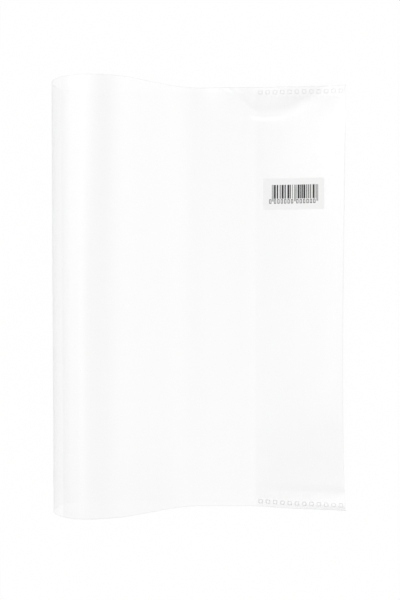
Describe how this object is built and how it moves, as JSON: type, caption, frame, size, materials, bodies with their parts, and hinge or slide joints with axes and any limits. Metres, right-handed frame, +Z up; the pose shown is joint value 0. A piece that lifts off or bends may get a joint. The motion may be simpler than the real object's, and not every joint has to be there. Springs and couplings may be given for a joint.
{
  "type": "exercise book cover",
  "caption": "Clear film slip-on cover for an exercise book: a rolled spine between two leaves, each with a welded flap pocket at its open edge.",
  "frame": {"origin": "centre of the closed cover's outline, on the surface that its back leaf lies on", "axes": "+X from the rolled spine to the open edge, +Y from the foot to the head of the book, +Z up, out of the front leaf"},
  "size_m": [0.1504, 0.218, 0.0386],
  "materials": {
    "film": "clear, glossy, faintly hazy soft film",
    "weld": "clear fused film with embossed ridges",
    "label": "matt coated paper with printed bars"
  },
  "bodies": {
    "back": {"back_leaf": "film", "back_fold": "film", "back_flap_head_band": "film", "back_flap_foot_band": "film", "back_head_welds": "weld", "back_foot_welds": "weld"},
    "spine_1": {"spine_strip_1": "film"},
    "spine_2": {"spine_strip_2": "film"},
    "spine_3": {"spine_strip_3": "film"},
    "spine_4": {"spine_strip_4": "film"},
    "spine_5": {"spine_strip_5": "film"},
    "spine_6": {"spine_strip_6": "film"},
    "crest_1": {"crest_strip_1": "film"},
    "crest_2": {"crest_strip_2": "film"},
    "slope": {"slope_strip": "film"},
    "valley_1": {"valley_strip_1": "film"},
    "valley_2": {"valley_strip_2": "film"},
    "level": {"level_strip": "film"},
    "front_edge": {"front_edge_leaf": "film", "front_fold": "film", "front_flap_head_band": "film", "front_flap_foot_band": "film", "front_head_welds": "weld", "front_foot_welds": "weld", "price_label": "label"},
    "front_flap": {"front_flap": "film"},
    "back_flap": {"back_flap": "film"}
  },
  "joints": [
    {"name": "cover_open", "type": "hinge", "parent": "back", "child": "spine_1", "pos_m": [-0.05588, 0, 0.0001], "axis": [0, -1, 0], "range_deg": [0, 14.8]},
    {"name": "spine_bend_2", "type": "hinge", "parent": "spine_1", "child": "spine_2", "pos_m": [-0.06548, 0, 0.00267], "axis": [0, -1, 0], "range_deg": [0, 29.6]},
    {"name": "spine_bend_3", "type": "hinge", "parent": "spine_2", "child": "spine_3", "pos_m": [-0.07251, 0, 0.0097], "axis": [0, -1, 0], "range_deg": [0, 29.6]},
    {"name": "spine_bend_4", "type": "hinge", "parent": "spine_3", "child": "spine_4", "pos_m": [-0.07508, 0, 0.0193], "axis": [0, -1, 0], "range_deg": [0, 29.6]},
    {"name": "spine_bend_5", "type": "hinge", "parent": "spine_4", "child": "spine_5", "pos_m": [-0.07251, 0, 0.0289], "axis": [0, -1, 0], "range_deg": [0, 29.6]},
    {"name": "spine_bend_6", "type": "hinge", "parent": "spine_5", "child": "spine_6", "pos_m": [-0.06548, 0, 0.03593], "axis": [0, -1, 0], "range_deg": [0, 29.6]},
    {"name": "crest_bend_1", "type": "hinge", "parent": "spine_6", "child": "crest_1", "pos_m": [-0.05588, 0, 0.0385], "axis": [0, -1, 0], "range_deg": [0, 24.17]},
    {"name": "crest_bend_2", "type": "hinge", "parent": "crest_1", "child": "crest_2", "pos_m": [-0.04351, 0, 0.03643], "axis": [0, -1, 0], "range_deg": [0, 18.75]},
    {"name": "slope_bend", "type": "hinge", "parent": "crest_2", "child": "slope", "pos_m": [-0.03248, 0, 0.03044], "axis": [0, -1, 0], "range_deg": [0, 9.37]},
    {"name": "valley_bend_1", "type": "hinge", "parent": "slope", "child": "valley_1", "pos_m": [-0.01672, 0, 0.01813], "axis": [0, 1, 0], "range_deg": [0, 9.37]},
    {"name": "valley_bend_2", "type": "hinge", "parent": "valley_1", "child": "valley_2", "pos_m": [-0.00744, 0, 0.01309], "axis": [0, 1, 0], "range_deg": [0, 18.75]},
    {"name": "level_bend", "type": "hinge", "parent": "valley_2", "child": "level", "pos_m": [0.00298, 0, 0.01135], "axis": [0, 1, 0], "range_deg": [0, 9.37]},
    {"name": "edge_bend", "type": "hinge", "parent": "level", "child": "front_edge", "pos_m": [0.02498, 0, 0.01135], "axis": [0, 1, 0], "range_deg": [0, 8.88]},
    {"name": "front_flap_lift", "type": "hinge", "parent": "front_edge", "child": "front_flap", "pos_m": [0.07425, 0, 0.0189], "axis": [0, -1, 0], "range_deg": [0, 5], "stiffness_Nm_per_rad": 0.05, "springref_deg": -1.72},
    {"name": "back_flap_lift", "type": "hinge", "parent": "back", "child": "back_flap", "pos_m": [0.07483, 0, 0.00035], "axis": [0, 1, 0], "range_deg": [0, 5], "stiffness_Nm_per_rad": 0.05, "springref_deg": -1.72}
  ],
  "couplings": [
    {"joint": "spine_bend_2", "follows": "cover_open", "ratio": 2},
    {"joint": "spine_bend_3", "follows": "cover_open", "ratio": 2},
    {"joint": "spine_bend_4", "follows": "cover_open", "ratio": 2},
    {"joint": "spine_bend_5", "follows": "cover_open", "ratio": 2},
    {"joint": "spine_bend_6", "follows": "cover_open", "ratio": 2},
    {"joint": "crest_bend_1", "follows": "cover_open", "ratio": 1.6333},
    {"joint": "crest_bend_2", "follows": "cover_open", "ratio": 1.2667},
    {"joint": "slope_bend", "follows": "cover_open", "ratio": 0.63333},
    {"joint": "valley_bend_1", "follows": "cover_open", "ratio": 0.63333},
    {"joint": "valley_bend_2", "follows": "cover_open", "ratio": 1.2667},
    {"joint": "level_bend", "follows": "cover_open", "ratio": 0.63333},
    {"joint": "edge_bend", "follows": "cover_open", "ratio": 0.6}
  ]
}
